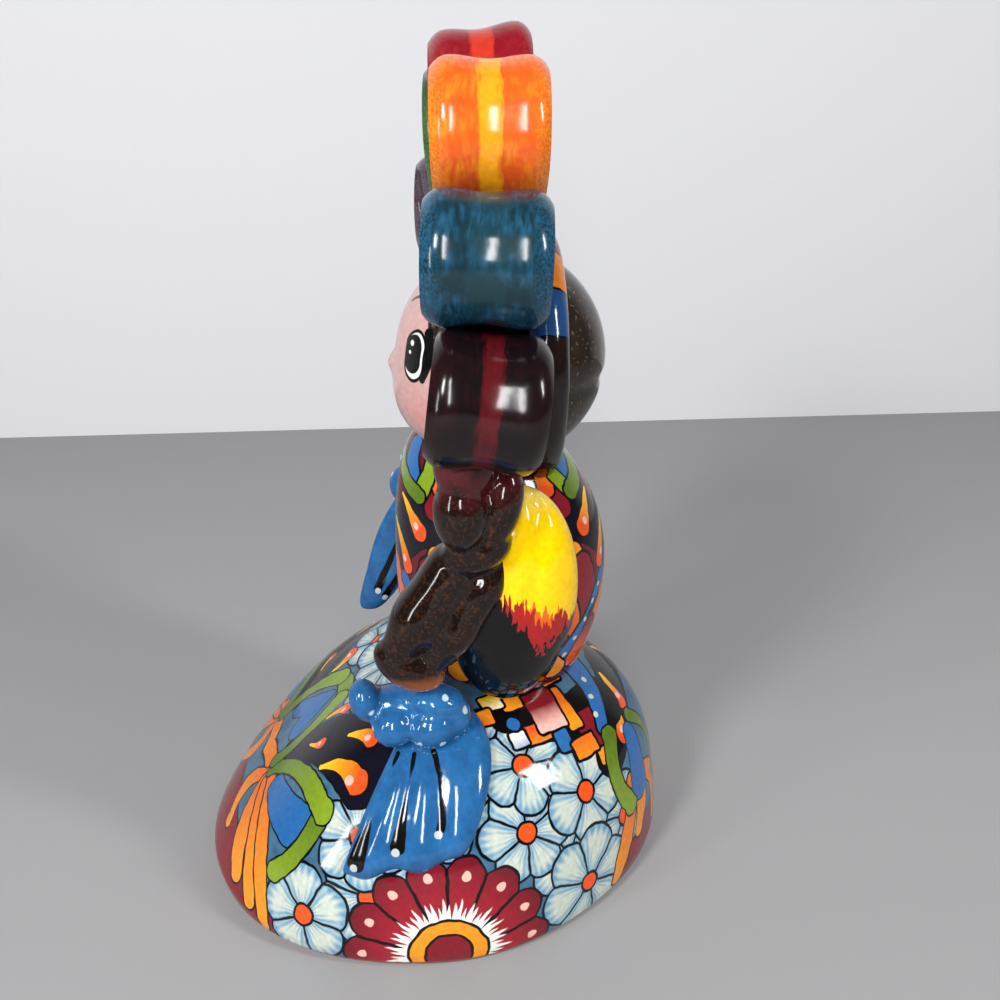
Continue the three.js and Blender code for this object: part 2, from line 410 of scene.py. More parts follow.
# %% Seven loops
FAN_Y = 16.0
FAN_Z = 165.6
FAN_FOLD = 3.5
ROOT_RADIUS = 18.0
ROOT_HALF = 4.6
SECTION_POINTS = 40
LOOP_ROWS = 84
LOOPS = {  # degrees from the top, reach, roll radius, width, shift to the back, twist, lean, taper
    "top": (0, 57.0, 16.2, 25.4, -0.5, 0, 3.0, 0.25),
    "left_1": (33.2, 58.6, 16.5, 26.6, 1.6, 0, 0.0, 0.25),
    "left_2": (65.7, 58.0, 15.0, 28.0, 0.6, 2, 0.0, 0.20),
    "left_3": (97, 58.0, 16.0, 26.6, 0.4, 7, 0.0, 0.45),
    "right_1": (-33.2, 58.6, 16.5, 26.6, 1.6, 0, 0.0, 0.25),
    "right_2": (-65, 58.0, 15.0, 28.0, 0.6, -2, 0.0, 0.25),
    "right_3": (-97, 58.0, 16.0, 26.6, 0.4, -7, 0.0, 0.30),
}


def loop_frame(name):
    """Places a loop's own axes, with x along the fan, y across the ribbon and z outwards."""
    angle, reach, _, _, shift, twist, _, _ = LOOPS[name]
    fold = FAN_FOLD if angle > 0 else -FAN_FOLD if angle < 0 else 0
    place = Matrix.Translation((0, FAN_Y, FAN_Z)) @ turned(-fold, "Z") @ turned(angle, "Y")
    return place @ Matrix.Translation((0, shift, reach)) @ turned(-twist, "Z")


def loop_form(name):
    _, reach, roll, width, _, _, lean, taper = LOOPS[name]
    radius = roll - RIBBON / 2 - FLARE
    side, up, length = ribbon_path(radius, reach - ROOT_RADIUS, ROOT_HALF)
    section_w, section_h = ribbon_section(width / 2, SECTION_POINTS + 1)

    def place(u, v):
        section = u * SECTION_POINTS
        inner_v = np.clip((v * LOOP_ROWS - 1) / (LOOP_ROWS - 2), 0, 1)
        x = np.interp(inner_v, length, side)
        z = np.interp(inner_v, length, up)
        ahead = np.clip(inner_v + 0.004, 0, 1)
        behind = np.clip(inner_v - 0.004, 0, 1)
        dx = np.interp(ahead, length, side) - np.interp(behind, length, side)
        dz = np.interp(ahead, length, up) - np.interp(behind, length, up)
        size = np.hypot(dx, dz)
        narrow = 1 - taper * np.abs(2 * inner_v - 1) ** 2.5
        open_end = np.where(np.abs(v - 0.5) > 0.5 - 0.5 / LOOP_ROWS, 0, 1)
        w = np.interp(section, range(SECTION_POINTS + 1), section_w) * narrow * open_end
        h = np.interp(section, range(SECTION_POINTS + 1), section_h) * open_end
        x = x - dz / size * h
        z = z + dx / size * h
        z = z + lean * w / width * smooth_step(z, -5, radius)
        return moved(loop_frame(name), x, w, z)

    return grid_form("loop_" + name, SECTION_POINTS, LOOP_ROWS, place)


loops = {name: loop_form(name) for name in LOOPS}

# %% [markdown]
# ## Arms, braids and bows
# The arms are two plain rolls, pressed flat against the bust. Each braid hangs from the lowest
# loop: an egg-shaped knot, a second turn behind it, and on the doll's left a long twisted lock.
# A bow closes each braid, and a ribbon tail comes out of the bow. Braids and bows are made of
# small lumps pressed together, with the creases between them smoothed.

# %% Rolls and lumps of clay
def lump_form(name, at, radii, tilt=0, lean=0, grid=28, relief=None):
    """An ellipsoid. `relief` takes its own unit axes x, y and z and scales the radius."""
    own = Matrix.Translation(at) @ turned(tilt, "X") @ turned(lean, "Y")

    def place(u, v):
        x, y, z = ball_direction(u, v)
        swell = 1.0 if relief is None else relief(x, y, z)
        return moved(own, x * radii[0] * swell, y * radii[1] * swell, z * radii[2] * swell)

    return grid_form(name, grid, int(grid * 0.8), place)


def arm_relief(x, y, z):
    """A soft upright crease down the upper half of the arm, and a slight waist over the hand."""
    crease = 0.055 * bell(y, 0.25, 0.13) * smooth_step(z, -0.3, 0.25) * (np.abs(x) > 0.2)
    waist = 0.03 * bell(z, -0.45, 0.16)
    return 1 - crease - waist


def strand_relief(x, y, z):
    """Soft swellings along a strand of hair."""
    return 1 + 0.05 * (1 - z ** 4) * np.cos(8 * z + 2)


def pressed_together(name, passes, lumps):
    """Joins lumps like wet clay: one skin of small squares, with its creases smoothed."""
    select(*[lump_form(*lump) for lump in lumps])
    bpy.ops.object.join()
    piece = bpy.context.object
    piece.name = name
    piece.data.remesh_voxel_size = CLAY_GRAIN * MM
    bpy.ops.object.voxel_remesh()
    bpy.ops.object.mode_set(mode="EDIT")
    bpy.ops.mesh.select_all(action="SELECT")
    bpy.ops.mesh.vertices_smooth(factor=0.5, repeat=passes)
    bpy.ops.object.mode_set(mode="OBJECT")
    print(name, len(piece.data.polygons), "faces")
    return piece


CLAY_GRAIN = 0.75
ARM_RADII = (13.4, 17.9, 32.4)
left_arm = lump_form("left_arm", (34, 21, 97), ARM_RADII, -4, 3, 56, arm_relief)
right_arm = lump_form("right_arm", (-34, 21, 97), ARM_RADII, -4, -3, 56, arm_relief)

# Each lump has a name, a place, radii, a tilt about x, a lean about y, a grid and a relief.
left_braid = pressed_together("left_braid", 8, [
    ("root", (50, 8, 141), (7.8, 7.8, 9)),
    ("knot", (50, 7, 129), (8, 7, 10.5), 0, 0, 32),
    ("second_turn", (47.5, 16.5, 129), (7, 5.8, 11.5), -14, 0, 32),
    ("third_turn", (46.5, 11, 117.5), (7.2, 9.5, 6.5), 24, 0, 32),
    ("front_strand", (43.5, -1, 101.5), (8.2, 7.4, 23), -32, 0, 40, strand_relief),
    ("back_strand", (43, 7, 97), (7.8, 7, 21), -32, 0, 40, strand_relief),
    ("tip", (42.5, -7, 82.5), (7.4, 10.5, 6.5), -32, 0, 32),
])
right_braid = pressed_together("right_braid", 8, [
    ("root", (-50, 7, 138), (7.2, 7.2, 9)),
    ("knot", (-50, 7, 127), (7, 7, 8.5), 0, 0, 32),
    ("lock", (-44, 3, 116), (8, 8, 10.5), -15, 0, 32, strand_relief),
])
left_bow = pressed_together("left_bow", 6, [
    ("end", (39, -19.5, 69.5), (5.4, 4.4, 6.2), 14),
    ("front_puff", (42.5, -12, 63), (5.8, 6, 5.8)),
    ("back_puff", (43, -1.5, 62.5), (6, 7, 6)),
    ("fold", (40.5, 0, 69.5), (6, 8, 4), -10),
    ("core", (37.5, -8, 66.5), (6.5, 13, 6), 0, 0, 32),
    ("back", (39.5, 4.5, 63.5), (6, 5, 6.5)),
])
right_bow = pressed_together("right_bow", 6, [
    ("front", (-45, -7, 100), (6.5, 6, 7)),
    ("middle", (-44, -3, 109), (6, 6, 6)),
    ("back", (-46, 6, 104), (6, 9, 7)),
])

# %% [markdown]
# ## Ribbon tails
# The left tail lies on the skirt and widens from the bow down to its cut ends. It is a slab
# with four soft flutes, and black stripes are painted in the valleys between them.

# %% Ribbon tails
TAIL_TOP = {"share": 0.42, "from": 78.0, "to": 100.0}
TAIL_END = {"share": 0.925, "from": 64.5, "to": 98.0}
TAIL_BULGE = 11.0
TAIL_LIFT = 4.3
TAIL_SINK = 3.0
TAIL_ROWS = 60
TAIL_VALLEYS = [(0.17, 0.11), (0.30, 0.415), (0.40, 0.74)]  # share across, at the top and the end


def skirt_height(around, share):
    power = fullness(around)
    return SKIRT_HEIGHT * (1 - share ** power) ** (1 / power)


def left_tail_place(u, v):
    down = np.clip((v * TAIL_ROWS - 1) / (TAIL_ROWS - 2), 0, 1)
    over = (u < 0.5) | (u > 0.999)
    across = np.where(u < 0.5, 2 * u, 2 - 2 * u)
    start = TAIL_TOP["from"] + (TAIL_TOP["to"] - TAIL_TOP["from"]) * across
    end = TAIL_END["from"] + (TAIL_END["to"] - TAIL_END["from"]) * across
    bulge = TAIL_BULGE * across ** 3 * np.sin(np.pi * down ** 0.75)
    around = np.radians(start + (end - start) * down + bulge)
    scallop = (0.006 * np.cos(across * 2 * np.pi * 2.5) + 0.045 * across ** 14) * down ** 6
    share = TAIL_TOP["share"] + (TAIL_END["share"] - TAIL_TOP["share"]) * down - scallop
    z = skirt_height(around, share)
    radius = hem_radius(around) * share
    point = np.column_stack([radius * np.sin(around), -radius * np.cos(around), z])
    outward = point / np.array([(HEM_WIDTH / 2) ** 2, (HEM_LENGTH / 2) ** 2, SKIRT_HEIGHT ** 2])
    outward /= np.linalg.norm(outward, axis=1)[:, None]
    edge = np.clip(1 - np.abs(2 * across - 1) ** 8, 0, 1) ** 0.5
    end_edge = np.clip(1 - down ** 30, 0, 1) ** 0.5
    valleys = sum(bell(across, top + (end_at - top) * down, 0.075) for top, end_at in TAIL_VALLEYS)
    flute = 1 - 0.2 * valleys * smooth_step(down, 0.3, 0.65)
    lift = np.where(over, TAIL_LIFT * edge * end_edge * flute, -TAIL_SINK)
    closed = np.abs(v - 0.5) > 0.5 - 0.5 / TAIL_ROWS
    lift = np.where(closed, -TAIL_SINK / 2, lift)
    placed = point + outward * lift[:, None]
    return placed[:, 0], placed[:, 1], placed[:, 2]


left_tail = grid_form("left_tail", 96, TAIL_ROWS, left_tail_place)

RIGHT_TAIL_HALF = 8
RIGHT_TAIL_THICK = 3
TAIL_LINE = [(-44, -2, 99), (-46, -8, 84), (-46, -14, 68), (-46, -22, 52)]


def right_tail_place(u, v):
    turn = -u * 2 * np.pi
    steps = np.linspace(0, 1, len(TAIL_LINE))
    x, y, z = (np.interp(v, steps, [point[i] for point in TAIL_LINE]) for i in range(3))
    half = 1 + RIGHT_TAIL_HALF * np.sin(np.pi * (0.25 + 0.62 * v))
    half = half * np.clip(1 - (2 * v - 1) ** 16, 0, 1) ** 0.5
    thick = RIGHT_TAIL_THICK * np.clip(1 - (2 * v - 1) ** 12, 0, 1) ** 0.5
    return x + thick * np.cos(turn), y + half * np.sin(turn), z


right_tail = grid_form("right_tail", 36, 48, right_tail_place)

# %% [markdown]
# ## Brushes
# The real doll was painted freehand, stroke by stroke, so the material is built the same way.
# A node group paints one stroke over the colour under it: a curved line from a start, through
# a middle, to an end, with a width and a colour at each end and a dark outline. Distances are
# taken in space from the object coordinates, so no texture has to be unwrapped. Both halves of
# the doll share their strokes, because x is read without its sign.

# %% Colours and wires
def ink(red, green, blue):
    """A paint colour from 0 to 255 as seen on a screen, as linear light."""
    shares = [value / 255 for value in (red, green, blue)]
    return tuple(s / 12.92 if s < 0.04045 else ((s + 0.055) / 1.055) ** 2.4 for s in shares)


BLACK = ink(9, 8, 9)
NAVY = ink(13, 12, 26)
CREAM = ink(186, 194, 182)
GREY_BLUE = ink(98, 144, 172)
BLUE = ink(38, 96, 156)
DARK_RED = ink(120, 22, 34)
ORANGE_RED = ink(217, 78, 28)
DEEP_ORANGE = ink(214, 104, 26)
ORANGE = ink(228, 140, 28)
YELLOW = ink(236, 192, 22)
GREEN = ink(120, 146, 34)
DARK_GREEN = ink(82, 108, 30)
PINK = ink(226, 172, 160)
WHITE = ink(226, 226, 218)


class Wires:
    """Adds nodes to one tree. Each method returns the output of the node that it adds."""

    def __init__(self, tree):
        self.tree = tree

    def plug(self, socket, value):
        if isinstance(value, bpy.types.NodeSocket):
            self.tree.links.new(value, socket)
        elif socket.type == "RGBA":
            socket.default_value = (*value, 1)
        else:
            socket.default_value = value

    def node(self, kind, values, result, **settings):
        """`values` goes from the place or name of an input to what is plugged into it."""
        node = self.tree.nodes.new(kind)
        for key, value in settings.items():
            setattr(node, key, value)
        for socket, value in values.items():
            self.plug(node.inputs[socket], value)
        return node.outputs[result]

    def math(self, operation, *values, clamp=False):
        result = self.node("ShaderNodeMath", dict(enumerate(values)), 0, operation=operation)
        return self.node("ShaderNodeClamp", {0: result}, 0) if clamp else result

    def plus(self, first, second):
        return self.math("ADD", first, second)

    def minus(self, first, second):
        return self.math("SUBTRACT", first, second)

    def times(self, first, second):
        return self.math("MULTIPLY", first, second)

    def linear(self, value, slope, start, clamp=False):
        """`value` times `slope`, plus `start`."""
        return self.math("MULTIPLY_ADD", value, slope, start, clamp=clamp)

    def unsigned(self, value):
        return self.math("ABSOLUTE", value)

    def inside(self, distance, more=0.0):
        """A sharp mask: 1 where a distance is above 0, or above -`more`."""
        return self.linear(distance, EDGE, 0.5 + more * EDGE)

    def within(self, distance, limit):
        """A sharp mask: 1 where a distance is below a limit."""
        return self.linear(distance, -EDGE, 0.5 + limit * EDGE)

    def vector(self, operation, first, second=None):
        values = {0: first}
        if second is not None:
            values[3 if operation == "SCALE" else 1] = second
        result = "Value" if operation in ("LENGTH", "DOT_PRODUCT") else "Vector"
        return self.node("ShaderNodeVectorMath", values, result, operation=operation)

    def dot(self, first, second):
        return self.vector("DOT_PRODUCT", first, second)

    def length(self, place):
        return self.vector("LENGTH", place)

    def away(self, place, start):
        """The way from `start` to `place`."""
        return self.vector("SUBTRACT", place, start)

    def mix(self, share, under, over):
        return self.node("ShaderNodeMix", {0: share, 6: under, 7: over}, 2, data_type="RGBA")

    def ramp(self, value, low, high):
        """0 at `low`, 1 at `high`, straight between them."""
        slope = 1 / (high - low)
        return self.linear(value, slope, -low * slope, clamp=True)

    def noise(self, place, size, detail=2.0, result=0):
        """`size` is the size of the spots in millimetres."""
        values = {"Vector": place, "Scale": 1 / size, "Detail": detail}
        return self.node("ShaderNodeTexNoise", values, result)

    def stretch(self, place, x, y, z):
        return self.vector("MULTIPLY", place, (x, y, z))

    def split(self, place):
        node = self.tree.nodes.new("ShaderNodeSeparateXYZ")
        self.plug(node.inputs[0], place)
        return node.outputs[0], node.outputs[1], node.outputs[2]

    def join(self, x, y, z):
        return self.node("ShaderNodeCombineXYZ", {0: x, 1: y, 2: z}, 0)


EDGE = 5.0  # a painted edge goes from 0 to 1 within one fifth of a millimetre


def new_group(name, colours, vectors, numbers):
    """A new node group with these inputs. Returns its wires, its inputs and its colour output."""
    tree = bpy.data.node_groups.new(name, "ShaderNodeTree")
    for labels, kind in ((colours, "Color"), (vectors, "Vector"), (numbers, "Float")):
        for label in labels.split():
            tree.interface.new_socket(label, in_out="INPUT", socket_type="NodeSocket" + kind)
    tree.interface.new_socket("colour", in_out="OUTPUT", socket_type="NodeSocketColor")
    entry = tree.nodes.new("NodeGroupInput").outputs
    return Wires(tree), entry, tree.nodes.new("NodeGroupOutput").inputs[0]


def lay_over(w, i, out, depth, line, paint):
    """Lays paint where `depth` is above 0, with a dark outline, over the colour under it."""
    outline = w.inside(w.plus(depth, line))
    w.plug(out, w.mix(w.inside(depth), w.mix(outline, i["under"], BLACK), paint))
    return w.tree


def round_flower(w, i, turn, roundness):
    """Measures at a place on a flower, with the rim of each petal rounded off."""
    from_middle = w.away(i["place"], i["middle"])
    distance = w.length(from_middle)
    angle = w.math("ARCTAN2", w.dot(from_middle, i["upward"]), w.dot(from_middle, i["across"]))
    share = w.linear(angle, w.math("DIVIDE", i["petals"], 2 * math.pi), turn)
    share = w.math("FRACT", share)
    off_middle = w.unsigned(w.minus(share, 0.5))
    bulge = w.linear(w.times(off_middle, off_middle), -roundness, 1.0)
    to_rim = w.linear(bulge, i["radius"], w.times(distance, -1.0))
    arc = w.times(w.math("DIVIDE", distance, i["petals"]), 2 * math.pi)
    to_side = w.times(w.minus(0.5, off_middle), arc)
    return distance, angle, share, off_middle, arc, to_rim, to_side


# %% One brush stroke
# In each group, w adds the nodes, i holds the inputs and out is the colour that comes out.
w, i, out = new_group("brush stroke", "under first_colour last_colour",
                      "place start span reach bend", "first_width more_width belly line")
from_start = w.away(i["place"], i["start"])
along = w.math("ADD", w.dot(from_start, i["reach"]), 0.0, clamp=True)
hump = w.times(along, w.minus(1.0, along))
middle_line = w.vector("ADD", w.vector("SCALE", i["span"], along), w.vector("SCALE", i["bend"], hump))
half = w.linear(along, i["more_width"], i["first_width"])
half = w.linear(hump, i["belly"], half)
depth = w.minus(half, w.length(w.away(from_start, middle_line)))
paint = w.mix(along, i["first_colour"], i["last_colour"])
STROKE = lay_over(w, i, out, depth, i["line"], paint)

# %% One daisy
DISC_RADIUS = 2.7
w, i, out = new_group("daisy", "under", "place middle across upward", "radius petals turn")
distance, _, share, _, _, to_rim, to_side = round_flower(w, i, i["turn"], 0.8)
streak = w.math("COSINE", w.times(share, 38.0))
shade = w.linear(w.math("MINIMUM", to_rim, to_side), -0.34, 1.1)
paint = w.mix(w.linear(streak, 0.3, shade), CREAM, GREY_BLUE)
paint = w.mix(w.within(to_side, 0.4), paint, BLACK)
paint = w.mix(w.within(distance, DISC_RADIUS + 0.8), paint, BLACK)
paint = w.mix(w.within(distance, DISC_RADIUS), paint, ORANGE_RED)
DAISY = lay_over(w, i, out, to_rim, 0.9, paint)

# %% The large flower at the hem
FRINGE_RADIUS = 14.0
RING_RADIUS = 10.6
CORE_RADIUS = 6.2
w, i, out = new_group("hem flower", "under", "place middle across upward", "radius petals")
distance, angle, share, off_middle, arc, to_rim, to_side = round_flower(w, i, 0.5, 0.55)
paint = w.mix(w.ramp(distance, 15, 28), ink(150, 28, 42), ink(104, 16, 30))
from_dot = w.join(w.times(off_middle, arc), w.minus(to_rim, 5.0), 0.0)
paint = w.mix(w.within(w.length(from_dot), 1.35), paint, PINK)
paint = w.mix(w.within(to_side, 0.5), paint, BLACK)
spike = w.math("COSINE", w.times(angle, 61.0))
spike = w.linear(w.math("COSINE", w.times(angle, 23.0)), 0.8, spike)
fringe = w.minus(w.linear(spike, 1.7, FRINGE_RADIUS + 1.0), distance)
paint = w.mix(w.times(fringe, 0.9), paint, WHITE)
for limit, colour in ((RING_RADIUS + 0.9, BLACK), (RING_RADIUS, ORANGE),
                      (CORE_RADIUS + 0.8, BLACK), (CORE_RADIUS, DARK_RED)):
    paint = w.mix(w.within(distance, limit), paint, colour)
HEM_FLOWER = lay_over(w, i, out, to_rim, 0.9, paint)

# %% One patch with square corners
PATCH_CORNER = 0.6
PATCH_DEPTH = 6.0
w, i, out = new_group("patch", "under low_colour high_colour",
                      "place middle across upward outward half", "line")
from_middle = w.away(i["place"], i["middle"])
upwards = w.dot(from_middle, i["upward"])
own_place = w.join(w.dot(from_middle, i["across"]), upwards, w.dot(from_middle, i["outward"]))
beyond = w.away(w.vector("ABSOLUTE", own_place), i["half"])
beyond = w.length(w.vector("MAXIMUM", beyond, (0, 0, 0)))
paint = w.mix(w.linear(upwards, 0.16, 0.75), i["low_colour"], i["high_colour"])
PATCH = lay_over(w, i, out, w.minus(PATCH_CORNER, beyond), i["line"], paint)

# %% A brush that remembers the paint so far
class Brush(Wires):
    """Paints on one form. `surface` turns a spot, which is two numbers, into x, y, z in mm."""

    def __init__(self, tree, place, surface=None, ground=BLACK):
        super().__init__(tree)
        self.place = place
        self.surface = surface
        self.colour = ground

    def point(self, spot):
        return Vector([float(value) for value in self.surface(*spot)])

    def add(self, group, **values):
        node = self.tree.nodes.new("ShaderNodeGroup")
        node.node_tree = group
        for label, value in {"under": self.colour, "place": self.place, **values}.items():
            self.plug(node.inputs[label], value)
        self.colour = node.outputs[0]

    def cover(self, mask, colour):
        self.colour = self.mix(mask, self.colour, colour)

    def stroke(self, spots, widths, colours, belly=0.0, line=0.7):
        """`spots` is a start, perhaps a middle, and an end. Widths are whole widths in mm."""
        start = self.point(spots[0])
        end = self.point(spots[-1])
        halfway = spots[1] if len(spots) == 3 else [(a + b) / 2 for a, b in zip(*spots)]
        span = end - start
        bend = (self.point(halfway) - (start + end) / 2) * 4
        self.add(STROKE, start=start, span=span, reach=span / span.length_squared, bend=bend,
                 first_width=widths[0] / 2, more_width=(widths[1] - widths[0]) / 2,
                 belly=belly * 2, line=line, first_colour=colours[0], last_colour=colours[1])

    def strokes(self, items, *colours, line=0.7):
        """Each item has spots, widths and perhaps a belly. `colours` is one, or first and last."""
        for spots, widths, *belly in items:
            self.stroke(spots, widths, (colours[0], colours[-1]), *belly, line=line)

    def dab(self, spot, width, colour, line=0.0):
        beside = (spot[0] * 1.002 + 0.0001, spot[1])
        self.stroke([spot, beside], (width, width), (colour, colour), line=line)

    def drop(self, spots, width):
        """A teardrop from yellow to orange-red, with a pale dot near its round end."""
        self.stroke(spots, (width * 0.2, width), (YELLOW, ORANGE_RED), line=0.5)
        near_end = [0.85 * b + 0.15 * a for a, b in zip(spots[0], spots[-1])]
        self.dab(near_end, width * 0.4, PINK)

    def spot_axes(self, spot):
        """The point and the two directions on the surface at a spot."""
        u, v = spot
        across = (self.point((u + 0.5, v)) - self.point((u - 0.5, v))).normalized()
        upward = self.point((u, v + 0.5)) - self.point((u, v - 0.5))
        upward = (upward - across * upward.dot(across)).normalized()
        return {"middle": self.point(spot), "across": across, "upward": upward}

    def daisy(self, spot, radius, petals, turn):
        self.add(DAISY, **self.spot_axes(spot), radius=radius, petals=petals, turn=turn)

    def patch(self, spot, size, colours, line=0.9):
        """A patch of a width and height in mm, shaded from its lower to its upper colour."""
        axes = self.spot_axes(spot)
        half = Vector((size[0] / 2 - PATCH_CORNER, size[1] / 2 - PATCH_CORNER, PATCH_DEPTH))
        self.add(PATCH, **axes, outward=axes["across"].cross(axes["upward"]), half=half, line=line,
                 low_colour=colours[0], high_colour=colours[1])


def object_place(wires, mirror=True):
    """Object coordinates in millimetres, with x without its sign for strokes on both halves."""
    place = wires.node("ShaderNodeTexCoord", {}, "Object")
    place = wires.vector("SCALE", place, 1000.0)
    if not mirror:
        return place
    x, y, z = wires.split(place)
    return wires.join(wires.unsigned(x), y, z)


def shaky(wires, place, size=4.0, amount=1.1):
    """Moves the place by a soft noise, as a hand does with a brush."""
    shake = wires.away(wires.noise(place, size, 1.0, "Color"), (0.5, 0.5, 0.5))
    return wires.vector("ADD", place, wires.vector("SCALE", shake, amount))


# %% [markdown]
# ## Glaze
# Every painted area has the same clear glaze: smooth, a little wavy from the dipping, and
# slightly uneven in gloss. Brush marks in the paint show through it.

# %% Glaze
GLAZE_IOR = 1.42


def glaze(name, paint, roughness=0.05):
    """A glazed material. `paint` gets the wires and returns the colour under the glaze."""
    material, shader = new_material(name)
    wires = Wires(material.node_tree)
    colour = paint(wires)
    place = object_place(wires, mirror=False)
    marks = wires.linear(wires.noise(place, 1.6, 3.0), 0.5, 0.75)
    gloss = wires.linear(wires.noise(place, 9.0), 0.09, roughness)
    waves = {"Height": wires.noise(place, 7.0), "Strength": 0.25, "Distance": 0.6 * MM}
    shader.inputs["IOR"].default_value = GLAZE_IOR
    wires.plug(shader.inputs["Base Color"], wires.vector("SCALE", colour, marks))
    wires.plug(shader.inputs["Roughness"], gloss)
    wires.plug(shader.inputs["Normal"], wires.node("ShaderNodeBump", waves, 0))
    return material


# %% [markdown]
# ## Painting the skirt
# A spot on the skirt is its angle from the front, in degrees, and its height. The painting goes
# from the ground up: dark red hem, daisies, the large hem flower at each side, then lilies,
# leaves and navy bands with drops at the front and back, and a patchwork round the waist.

# %% Paint the skirt
def skirt_spot(degrees, z):
    return skirt_point(math.radians(degrees), z)


HEM_GROUND = [([(-6, 10), (22, 9), (44, 3)], (24, 14)), ([(186, 10), (162, 8), (140, 3)], (22, 12))]
SKIRT_DAISIES = [  # spot, radius, petals, turn
    ((72, 22), 15, 6, 0.2), ((88, 44), 15, 6, 0.5), ((68, 36), 14, 6, 0.7), ((56, 13), 14, 5, 0.1),
    ((64, 54), 13, 6, 0.3), ((36, 58), 12, 6, 0.0), ((104, 53), 14, 6, 0.4), ((124, 24), 13, 6, 0.1),
    ((113, 35), 14, 6, 0.6), ((118, 49), 13, 6, 0.1), ((146, 24), 13, 6, 0.3), ((134, 38), 14, 5, 0.8),
    ((130, 12), 17, 6, 0.35), ((10, 59), 14, 6, 0.25),
]
LILY_FRONT = [  # spots, first and last width, belly
    ([(15, 30), (6, 30), (-6, 26)], (5.0, 5.0), 2.0),
    ([(16, 29), (9, 23), (14, 14)], (5.0, 5.5), 2.0),
    ([(18, 28), (24, 20), (31, 11)], (6.0, 6.5), 2.0),
    ([(20, 29), (33, 20), (39, 8)], (6.0, 5.0), 2.0),
    ([(21, 31), (37, 22), (45, 4)], (4.5, 4.0), 1.5),
]
LILY_BACK = [
    ([(158, 31), (166, 22), (165, 10)], (5.5, 5.0), 2.0),
    ([(152, 31), (156, 24), (153, 14)], (6.0, 6.0), 2.0),
    ([(151, 26), (146, 15), (141, 5)], (5.5, 4.5), 2.0),
]
LEAVES = [  # blue inside: spots, widths; then green edges: spots, widths
    ([(28, 32), (37, 32), (46, 32)], (8.0, 13.0),
     [([(54, 38), (52, 30), (45, 20)], (6.5, 6.0)), ([(17, 31), (33, 39), (54, 38)], (5.0, 7.5))]),
    ([(8, 38), (2, 42), (-4, 45)], (7.0, 11.0),
     [([(12, 49), (5, 50), (-4, 50)], (6.0, 6.0)), ([(14, 32), (17, 40), (12, 49)], (5.0, 7.0))]),
    ([(159, 42), (157, 35), (156, 28)], (7.0, 11.0),
     [([(164, 45), (170, 34), (168, 24)], (5.0, 4.5)), ([(151, 46), (146, 38), (150, 25)], (6.5, 7.0))]),
]
NAVY_BANDS = [  # spots, widths
    ([(17, 36), (36, 47), (62, 49)], (8.0, 23.0)),
    ([(178, 54), (164, 50), (147, 42)], (13.0, 11.0)),
]
SKIRT_DROPS = [  # spots, width
    ([(29, 43), (33, 44.5), (36, 46)], 3.4), ([(45, 44), (54, 47), (62, 46)], 7.4),
    ([(49, 51.5), (55, 53), (61, 53.5)], 5.6), ([(22, 47), (26, 50), (31, 52)], 4.4),
    ([(171, 55), (168, 52), (166, 49)], 5.6), ([(162, 50), (159, 47), (156, 44)], 5.8),
]
PATCHES = [  # spot, width and height, lower and upper colour
    ((145.5, 43.5), (4.5, 5), (ORANGE, ORANGE)),
    ((148, 50), (11, 11), (DARK_RED, DARK_RED)),
    ((129, 53.5), (9.5, 5.5), (ORANGE, ORANGE_RED)),
    ((135.5, 50.5), (4.5, 6), (BLUE, BLUE)),
    ((141, 47.5), (8.5, 5.5), (ORANGE, DEEP_ORANGE)),
    ((144.5, 55.5), (4.5, 14), (ORANGE, DEEP_ORANGE)),
    ((137.5, 56.5), (9.5, 13), (PINK, DARK_RED)),
    ((128, 59), (6, 6), (ORANGE, ORANGE)),
    ((119, 59.5), (6, 5), (WHITE, YELLOW)),
    ((121, 53.5), (5, 4.5), (BLUE, WHITE)),
    ((112, 58), (5, 5), (ORANGE_RED, ORANGE)),
    ((153, 60.5), (6.5, 5.5), (ORANGE, ORANGE_RED)),
    ((167, 61), (8, 6), (ORANGE_RED, ORANGE_RED)),
]
PATCH_GROUND = [([(158, 53), (140, 54), (120, 57)], (17, 8))]
BLUE_PETAL = [([(168, 60), (160, 55.5), (150.5, 48.5)], (9, 4))]
PATCH_DABS = [  # spot, width, colour, line
    ((162, 57), 1.8, CREAM, 0.0), ((157, 54.5), 1.8, CREAM, 0.0), ((152, 51.5), 1.8, CREAM, 0.0),
    ((122, 56), 4.0, BLUE, 0.8),
]
SIDE_LINE = 92.0
OVERLAP = 20.0


